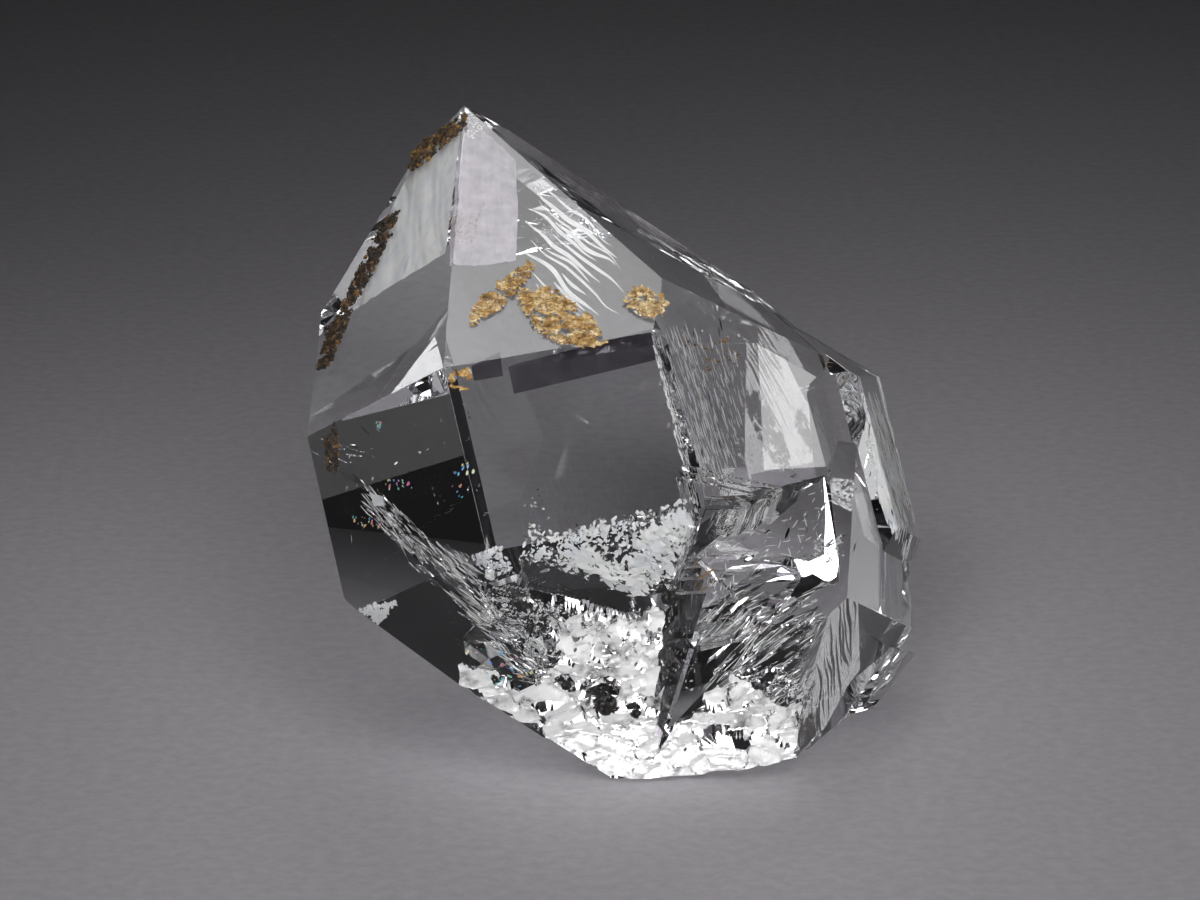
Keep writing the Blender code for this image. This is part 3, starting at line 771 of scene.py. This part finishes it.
def coal_grain(name, material):
    """A lump of black hydrocarbon in its pit."""
    low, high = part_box(name)
    middle = (Vector(low) + Vector(high)) / 2
    radius = min(b - a for a, b in zip(low, high)) / 2
    shape = bmesh.new()
    bmesh.ops.create_icosphere(shape, subdivisions=4, radius=radius)
    for vertex in shape.verts:
        place = vertex.co / radius * 1.3 + middle * 900.0
        lump = chips(place.x * 2.0, place.y * 2.0 + place.z, 1.0, place.z)
        vertex.co *= 0.8 + 0.24 * max(-1.0, min(0.8, lump))
        vertex.co += middle
    piece = add_piece(name + "_lump", mesh_of(name, shape), material)
    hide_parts(name)


def new_material(name):
    material = bpy.data.materials.new(name)
    material.use_nodes = True
    return material, material.node_tree.nodes, material.node_tree.links


def noise_field(nodes, links, scale, detail=4.0, roughness=0.6):
    """A noise texture that is fixed to the piece."""
    place = nodes.new("ShaderNodeTexCoord")
    field = nodes.new("ShaderNodeTexNoise")
    field.inputs["Scale"].default_value = scale
    field.inputs["Detail"].default_value = detail
    field.inputs["Roughness"].default_value = roughness
    links.new(place.outputs["Object"], field.inputs["Vector"])
    return field.outputs["Fac"]


def ramp(nodes, links, value, stops):
    """A colour ramp over a value: stops are pairs of a position and a colour."""
    node = nodes.new("ShaderNodeValToRGB")
    elements = node.color_ramp.elements
    while len(elements) < len(stops):
        elements.new(0.5)
    for element, (position, colour) in zip(elements, stops):
        element.position = position
        element.color = (*colour, 1.0)
    links.new(value, node.inputs["Fac"])
    return node.outputs["Color"]


def mapped(nodes, links, value, low, high, from_low=0.0, from_high=1.0):
    node = nodes.new("ShaderNodeMapRange")
    node.inputs["From Min"].default_value = from_low
    node.inputs["From Max"].default_value = from_high
    node.inputs["To Min"].default_value = low
    node.inputs["To Max"].default_value = high
    links.new(value, node.inputs["Value"])
    return node.outputs["Result"]


def product(nodes, links, first, second):
    node = nodes.new("ShaderNodeMath")
    node.operation = "MULTIPLY"
    links.new(first, node.inputs[0])
    links.new(second, node.inputs[1])
    return node.outputs["Value"]


def bump(nodes, links, height, distance):
    node = nodes.new("ShaderNodeBump")
    node.inputs["Distance"].default_value = distance
    links.new(height, node.inputs["Height"])
    return node.outputs["Normal"]


def quartz_material():
    """Clear quartz, with a milky bloom of fine cracks where it is chipped."""
    material, nodes, links = new_material("clear quartz")
    shader = nodes["Principled BSDF"]
    shader.inputs["Base Color"].default_value = (1.0, 1.0, 1.0, 1.0)
    shader.inputs["IOR"].default_value = QUARTZ_IOR
    mark = nodes.new("ShaderNodeAttribute")
    mark.attribute_name = "chipped"
    patchy = mapped(nodes, links, noise_field(nodes, links, 900.0), 0.0, 1.0, 0.28, 0.5)
    milky = product(nodes, links, mark.outputs["Fac"], patchy)
    links.new(mapped(nodes, links, milky, 1.0, 0.3), shader.inputs["Transmission Weight"])
    links.new(mapped(nodes, links, milky, 0.0, 0.25), shader.inputs["Roughness"])
    absorb = nodes.new("ShaderNodeVolumeAbsorption")
    absorb.inputs["Color"].default_value = (0.86, 0.87, 0.9, 1.0)
    absorb.inputs["Density"].default_value = 14.0
    links.new(absorb.outputs["Volume"], nodes["Material Output"].inputs["Volume"])
    return material


def frost_material():
    """White films of fine cracks."""
    material, nodes, links = new_material("white frost")
    shader = nodes["Principled BSDF"]
    white = ramp(nodes, links, noise_field(nodes, links, 900.0),
                 [(0.35, (0.9, 0.92, 0.96)), (0.6, (1.0, 1.0, 0.98))])
    links.new(white, shader.inputs["Base Color"])
    shader.inputs["Roughness"].default_value = 0.45
    return material


def painted_shade_material():
    """Painted shade: a grey film that only dims what shows through, for the dark band and notch on the front
    prism face.
    """
    material, nodes, links = new_material("shade")
    shader = nodes["Principled BSDF"]
    painted_shade_colour = ramp(nodes, links, noise_field(nodes, links, 700.0),
                 [(0.3, (0.3, 0.28, 0.32)), (0.7, (0.42, 0.4, 0.44))])
    links.new(painted_shade_colour, shader.inputs["Base Color"])
    shader.inputs["Roughness"].default_value = 0.0
    shader.inputs["IOR"].default_value = 1.01
    shader.inputs["Transmission Weight"].default_value = 1.0
    return material


def tinted_material(name, colour):
    """A tinted film that light passes through: the lilac veil, the iron stains and the painted shade of the
    dark streaks.
    """
    material, nodes, links = new_material(name)
    shader = nodes["Principled BSDF"]
    pale = tuple(min(1.0, value * 1.5) for value in colour)
    tint = ramp(nodes, links, noise_field(nodes, links, 1500.0), [(0.35, colour), (0.7, pale)])
    links.new(tint, shader.inputs["Base Color"])
    shader.inputs["Roughness"].default_value = 0.2
    shader.inputs["Transmission Weight"].default_value = 0.5
    return material


def painted_glint_material():
    """Painted rainbow glints: thin flakes coloured like split light, each flake its own."""
    material, nodes, links = new_material("glint")
    shader = nodes["Principled BSDF"]
    flake = nodes.new("ShaderNodeNewGeometry")
    painted_glint_colours = [(0.0, (0.1, 0.3, 0.9)), (0.25, (0.2, 0.8, 0.8)), (0.45, (0.95, 0.8, 0.3)),
               (0.65, (0.95, 0.4, 0.15)), (0.85, (0.8, 0.2, 0.6)), (1.0, (0.9, 0.95, 1.0))]
    links.new(ramp(nodes, links, flake.outputs["Random Per Island"], painted_glint_colours), shader.inputs["Base Color"])
    shader.inputs["Roughness"].default_value = 0.3
    return material


def rust_material(name, dark):
    """Rusty iron oxide, from black-brown to ochre and pale gold."""
    material, nodes, links = new_material("rust of " + name)
    shader = nodes["Principled BSDF"]
    shift = 0.28 * dark
    stops = [(0.3 + shift, (0.02, 0.012, 0.006)), (0.4 + shift, (0.16, 0.08, 0.022)),
             (0.52 + shift, (0.5, 0.29, 0.08)), (0.66 + shift, (0.82, 0.68, 0.42))]
    value = noise_field(nodes, links, 2600.0, 6.0, 0.7)
    links.new(ramp(nodes, links, value, stops), shader.inputs["Base Color"])
    links.new(mapped(nodes, links, value, 0.5, 0.95), shader.inputs["Roughness"])
    fine = noise_field(nodes, links, 14000.0)
    links.new(bump(nodes, links, fine, 0.00005), shader.inputs["Normal"])
    return material


def coal_material():
    """Black hydrocarbon with a dull pitchy shine."""
    material, nodes, links = new_material("black hydrocarbon")
    shader = nodes["Principled BSDF"]
    value = noise_field(nodes, links, 3000.0)
    colour = ramp(nodes, links, value, [(0.4, (0.003, 0.003, 0.003)), (0.75, (0.016, 0.012, 0.008))])
    links.new(colour, shader.inputs["Base Color"])
    links.new(mapped(nodes, links, value, 0.25, 0.6), shader.inputs["Roughness"])
    links.new(bump(nodes, links, value, 0.00008), shader.inputs["Normal"])
    return material


def floor_material():
    material, nodes, links = new_material("pale floor")
    shader = nodes["Principled BSDF"]
    grain = noise_field(nodes, links, 1500.0, 3.0)
    colour = ramp(nodes, links, grain, [(0.3, (0.38, 0.363, 0.388)), (0.7, (0.45, 0.433, 0.458))])
    links.new(colour, shader.inputs["Base Color"])
    shader.inputs["Roughness"].default_value = 0.85
    return material


def floor():
    """A round pale table top. Past its edge the studio is dark."""
    shape = bmesh.new()
    bmesh.ops.create_circle(shape, cap_ends=True, segments=128, radius=FLOOR_RADIUS)
    mesh = mesh_of("floor", shape)
    sheet = bpy.data.objects.new("floor", mesh)
    sheet.location.z = -0.00002
    bpy.context.scene.collection.objects.link(sheet)
    mesh.materials.append(floor_material())


def area_lamp(name, aim, toward, distance, size, radiance, spread=180.0, lights_floor=False, roll=0.0):
    """A soft lamp that faces a point from a distance. Only some of them light more than what mirrors them."""
    lamp = bpy.data.lights.new(name, "AREA")
    lamp.shape = "RECTANGLE"
    lamp.size, lamp.size_y = size
    lamp.energy = radiance * size[0] * size[1] * math.pi
    lamp.spread = math.radians(spread)
    holder = bpy.data.objects.new(name, lamp)
    holder.location = aim + toward * distance
    turn = toward.to_track_quat("Z", "Y").to_matrix() @ Matrix.Rotation(math.radians(roll), 3, "Z")
    holder.rotation_euler = turn.to_euler()
    holder.visible_camera = False
    holder.visible_diffuse = lights_floor
    bpy.context.scene.collection.objects.link(holder)


def softbox(name, azimuth, elevation, *settings):
    """A soft lamp aimed at the stone. Azimuth 0 is the camera's side and 90 the right."""
    turn, rise = math.radians(azimuth), math.radians(elevation)
    toward = Vector((math.sin(turn) * math.cos(rise), -math.cos(turn) * math.cos(rise), math.sin(rise)))
    area_lamp(name, CRYSTAL_CENTRE, toward, *settings)


def mirrored_box(name, tree, pixel, distance, size, radiance, roll):
    """A soft lamp that the face at a pixel of the photograph mirrors to the camera."""
    start, direction = camera_ray(pixel)
    point, normal, index, reach = tree.ray_cast(start, direction)
    area_lamp(name, point, direction.reflect(normal), distance, size, radiance, roll=roll)


def lights(tree):
    softbox("key on the left in front", 340, 40, 0.2, (0.09, 0.09), 0.34, 36.0, True)
    softbox("key on the right in front", 11, 36, 0.2, (0.09, 0.09), 0.34, 36.0, True)
    softbox("low box in front", 12, 6, 0.22, (0.16, 0.08), 8.8, 180.0, True)
    softbox("box overhead", 0, 88, 0.09, (0.06, 0.05), 4.5)
    softbox("sky box behind", 178, 56.5, 0.2, (0.08, 0.07), 0.125, 40.0, True)
    mirrored_box("box right behind", tree, BRIGHT_PRISM_SPOT, 1.0, (0.0227, 0.0291), 1.8, BRIGHT_PRISM_ROLL)
    softbox("box right in front", 33, 23.5, 0.35, (0.1, 0.18), 0.65)
    softbox("box on the left", 300, 42, 0.35, (0.16, 0.14), 0.4)


def world():
    scene_world = bpy.data.worlds.new("dim studio")
    scene_world.use_nodes = True
    background = scene_world.node_tree.nodes["Background"]
    background.inputs["Color"].default_value = (0.5, 0.49, 0.52, 1.0)
    background.inputs["Strength"].default_value = 0.018
    bpy.context.scene.world = scene_world


def camera():
    lens = bpy.data.cameras.new("camera")
    lens.lens = LENS
    lens.sensor_width = SENSOR
    lens.clip_start = 0.005
    holder = bpy.data.objects.new("camera", lens)
    start, direction = camera_ray((PHOTO_WIDTH / 2, PHOTO_HEIGHT / 2))
    holder.location = start
    holder.rotation_euler = (-direction).to_track_quat("Z", "Y").to_euler()
    bpy.context.scene.collection.objects.link(holder)
    bpy.context.scene.camera = holder


camera()
world()
floor()
quartz_tree = crystal()
lights(quartz_tree)
inner_films(quartz_tree)
for crust_name in CRUSTS:
    crust(crust_name, quartz_tree)
coal = coal_material()
for grain_name in COAL_GRAINS:
    coal_grain(grain_name, coal)

cycles = bpy.context.scene.cycles
cycles.max_bounces = 24
cycles.transmission_bounces = 24
cycles.glossy_bounces = 12
bpy.context.scene.view_settings.view_transform = "Standard"
